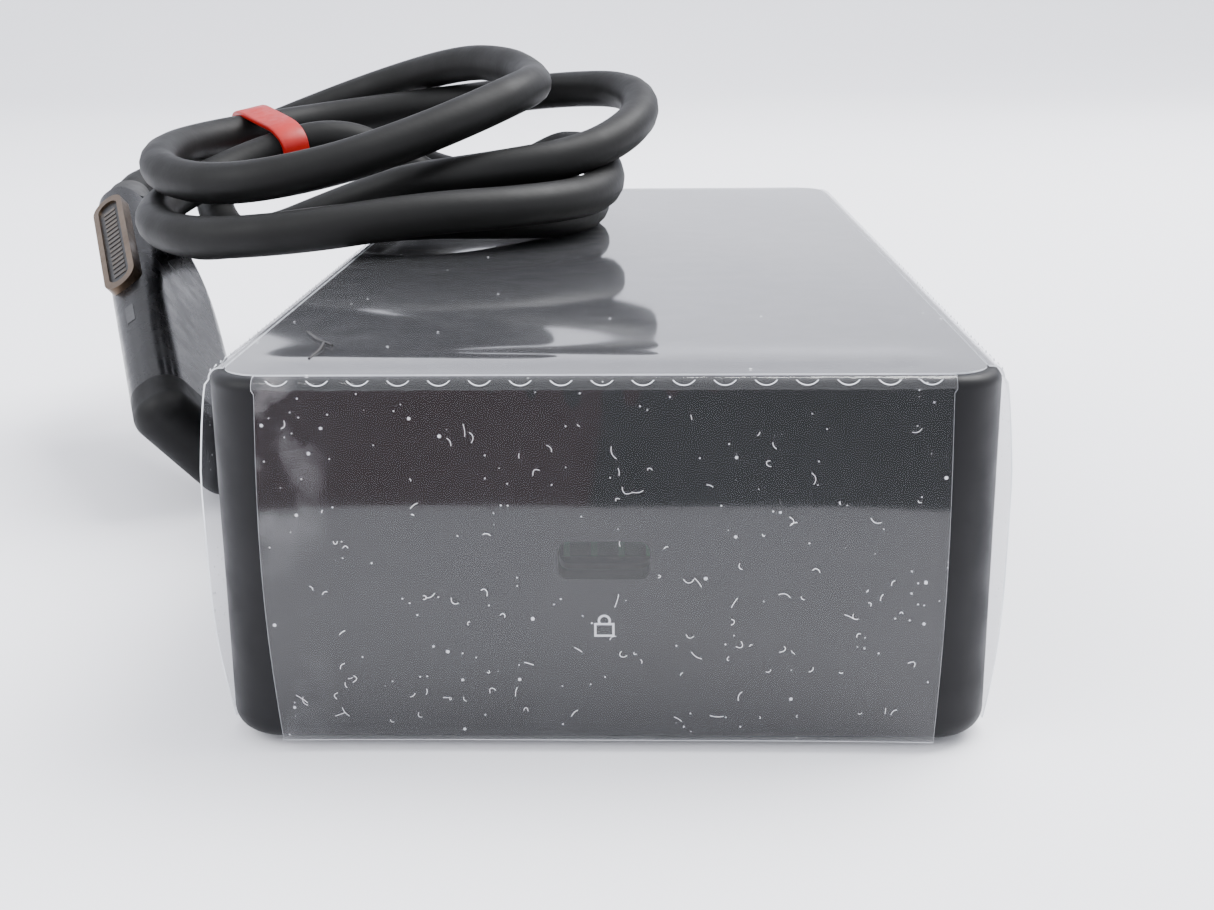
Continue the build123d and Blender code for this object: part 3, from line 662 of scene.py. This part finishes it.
def perforations():
    """The punched cuts along the four folds: each leaves a raised lip, curved like a fingernail, finished
    white as a painted highlight for its glint.
    """
    chord_place, lip_tilt, end_run, side_run = 0.60, radians(62), 25.5, 60.5
    lip_inset, lip_drop = 0.16, 0.22
    deselect()
    bpy.ops.mesh.primitive_torus_add(major_segments=28, minor_segments=6, major_radius=1.0,
                                     minor_radius=0.045)
    pattern = added("lip")
    edit(pattern, lambda: bpy.ops.mesh.bisect(plane_co=(0, -chord_place, 0), plane_no=(0, 1, 0),
                                              clear_outer=True, use_fill=True))
    pattern.data.transform(Matrix.Translation((0, chord_place, 0)))
    lips = []
    for turn, reach, half_run in ((0, half_length, end_run), (pi, half_length, end_run),
                                  (pi / 2, half_width, side_run), (-pi / 2, half_width, side_run)):
        count = int(half_run // perforation_pitch)
        for n in range(-count, count + 1):
            copy = pattern.copy()
            copy.data = pattern.data.copy()
            bpy.context.scene.collection.objects.link(copy)
            tilt = Matrix.Rotation(lip_tilt, 4, "X")
            place = Matrix.Translation((n * perforation_pitch, -(reach - lip_inset), film_top - lip_drop))
            copy.data.transform(Matrix.Rotation(turn, 4, "Z") @ place @ tilt)
            lips.append(copy)
    bpy.data.objects.remove(pattern)
    piece = joined(lips, "film_perforations")
    # The lips' white finish is a painted highlight standing for the glints along the folds.
    piece.data.materials.append(film_rim_painted_glint)
    return keep(smooth(to_metres(piece), 60), "clear_film")


def film_pieces():
    fold_half = end_flap_half + 0.2
    end = (half_length, fold_half, end_half, end_spring, film_end_finish)
    side = (half_width, side_flap_half, side_half, side_spring, film_side_finish)
    near_end = folded_strip("film_lock_end", *end, 0.0)
    far_end = folded_strip("film_cord_end", *end, pi)
    left = folded_strip("film_left_side", *side, -pi / 2)
    right = folded_strip("film_right_side", *side, pi / 2)
    cut(left, socket_windows(-1))
    cut(right, socket_windows(1))
    deselect()
    gland_window_radius = 6.8
    bpy.ops.mesh.primitive_cylinder_add(vertices=64, radius=gland_window_radius, depth=6,
                                        location=(0, half_length, port_height), rotation=(pi / 2, 0, 0))
    cut(far_end, [settle(added("gland_window"))])
    made = [film_panel(), near_end, far_end, left, right]
    for piece in made:
        keep(smooth(to_metres(piece), 40), "clear_film")
    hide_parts("protective_film")


film_pieces()
perforations()


# ---------------------------------------------------------------- padlock sign
def padlock_sign():
    """The printed sign below the security slot: a padlock's outline in light grey ink."""
    middle, width, tall, line, ink = 10.2, 1.55, 1.12, 0.17, 0.02
    shackle_radius, shackle_foot = 0.50, 0.18
    face = -half_length + film_thickness + 0.03
    deselect()
    bpy.ops.mesh.primitive_plane_add(size=1, location=(0, 0, 0))
    body = added("sign_body")
    body.data.transform(Matrix.Diagonal((width, tall, 1, 1)))
    edit(body, lambda: bpy.ops.mesh.inset(thickness=line), lambda: bpy.ops.mesh.delete(type="FACE"))
    bpy.ops.mesh.primitive_circle_add(vertices=40, radius=shackle_radius, fill_type="NGON")
    shackle = added("sign_shackle")
    edit(shackle, lambda: bpy.ops.mesh.inset(thickness=line), lambda: bpy.ops.mesh.delete(type="FACE"),
         lambda: bpy.ops.mesh.select_all(action="SELECT"),
         lambda: bpy.ops.mesh.bisect(plane_co=(0, -shackle_foot, 0), plane_no=(0, 1, 0), clear_inner=True))
    shackle.data.transform(Matrix.Translation((0, tall / 2 + shackle_foot, 0)))
    sign = joined([body, shackle], "padlock_sign")
    finish_modifier(sign, "SOLIDIFY", thickness=ink, offset=0.0)
    sign.data.transform(Matrix.Translation((0, face - ink, middle)) @ Matrix.Rotation(pi / 2, 4, "X"))
    sign.data.materials.append(solid("printed_ink", "b9b9bc", "c6c6c8", 0.5, grain=0.2, depth=0.002))
    return keep(to_metres(sign), "housing")


padlock_sign()


# ---------------------------------------------------------------- lint on the film
lint_random = Random(11)
lint_white = solid("cotton_lint", "d5d6da", "e6e7ea", 0.8, grain=0.3, depth=0.002)
hair_black = solid("dark_hair", "141110", "1c1816", 0.45, grain=0.3, depth=0.002)


def lint(count, left, right, low, high, face):
    """Short curled fibres lying on an upright face, each with its own length and curl."""
    fibres = []
    for _ in range(count):
        x, z = lint_random.uniform(left, right), lint_random.uniform(low, high)
        heading, curl = lint_random.uniform(0, tau), lint_random.uniform(-1.3, 1.3)
        step = lint_random.uniform(0.06, 0.28)
        fibre = []
        for _ in range(5):
            fibre.append((x, face, z))
            x, z = x + step * cos(heading), z + step * sin(heading)
            heading += curl * lint_random.uniform(0.3, 1.2)
        fibres.append(fibre)
    return fibres


end_face = -half_length - 0.34
fibres = lint(70, -24, 24, 2.5, 14, end_face) + lint(40, -24, 24, 14, 27, end_face)
lint_radius, hair_radius = 0.022, 0.11
keep(as_mesh(curve_piece("white_lint", fibres, lint_radius, lint_white)), "clear_film")
hair_height = film_top + 0.16
hair = [[(-25.2, -48.3, hair_height), (-24.3, -50.2, hair_height), (-23.5, -51.9, hair_height),
         (-22.0, -53.9, hair_height)],
        [(-22.9, -52.9, hair_height), (-22.5, -55.0, hair_height), (-22.8, -59.0, hair_height)]]
keep(as_mesh(curve_piece("stray_hair", hair, hair_radius, hair_black)), "clear_film")


# ---------------------------------------------------------------- finishes of the CAD nodes
for name, carried in nodes.items():
    slot = next(part["material_slot"] for part in frame["record"]["subparts"] if part["node"] == name)
    carried.data.materials.clear()
    finish = plug_contact_finish if name == "plug_contacts" else finishes.get(slot, film_end_finish)
    carried.data.materials.append(finish)
    smooth(carried, 30)


# ---------------------------------------------------------------- floor and light
def studio():
    """A wide pale sweep that curves up behind, soft lights above on the right and on the left, and dark
    cards lying in front that only mirrors see, so that the glossy end has something to mirror. Places are
    in metres."""
    deselect()
    bpy.ops.mesh.primitive_grid_add(x_subdivisions=2, y_subdivisions=60, size=2)
    sweep = added("floor")
    half_across, half_run, run_middle = 3.5, 3.2, 1.6
    bend_start, bend_radius = 0.9, 1.2
    for vertex in sweep.data.vertices:
        y = half_run * vertex.co.y + run_middle
        turned = min(max(y - bend_start, 0) / bend_radius, pi / 2)
        rise = max(y - bend_start - bend_radius * pi / 2, 0)
        vertex.co = (half_across * vertex.co.x, min(y, bend_start) + bend_radius * sin(turned),
                     bend_radius * (1 - cos(turned)) + rise)
    sweep.data.materials.append(solid("painted_board", "ececf1", "efeff3", 0.8, grain=0.6, depth=0.004,
                                      patch=300))
    smooth(sweep, 60)
    card_middle, card_depth, card_height = -0.215, 0.17, 0.0008
    for name, left, right, colour in (("card_left", -0.220, -0.004, "4c1613"),
                                      ("card_right", -0.004, 0.220, "0f1b10")):
        bpy.ops.mesh.primitive_plane_add(size=1, location=((left + right) / 2, card_middle, card_height))
        card = added(name)
        card.scale = (right - left, card_depth, 1)
        card.data.materials.append(solid("felt_" + name, colour, colour, 0.9, grain=1.0))
        card.visible_camera = card.visible_diffuse = card.visible_shadow = False
        settle(card)
    world = bpy.data.worlds.new("studio")
    bpy.context.scene.world = world
    world.use_nodes = True
    sky = world.node_tree.nodes["Background"]
    sky.inputs["Color"].default_value = linear("eceef4")
    sky.inputs["Strength"].default_value = 2.3
    target = Vector((0, 0, 0.02))
    for name, place, size, power in (("key", (0.45, 0.25, 0.85), 0.7, 24.0),
                                     ("fill", (-0.7, -0.5, 0.7), 0.8, 8.0)):
        light = bpy.data.lights.new(name, "AREA")
        light.size = size
        light.energy = power
        lamp = bpy.data.objects.new(name, light)
        bpy.context.scene.collection.objects.link(lamp)
        lamp.location = place
        lamp.rotation_euler = (target - Vector(place)).to_track_quat("-Z", "Y").to_euler()


studio()
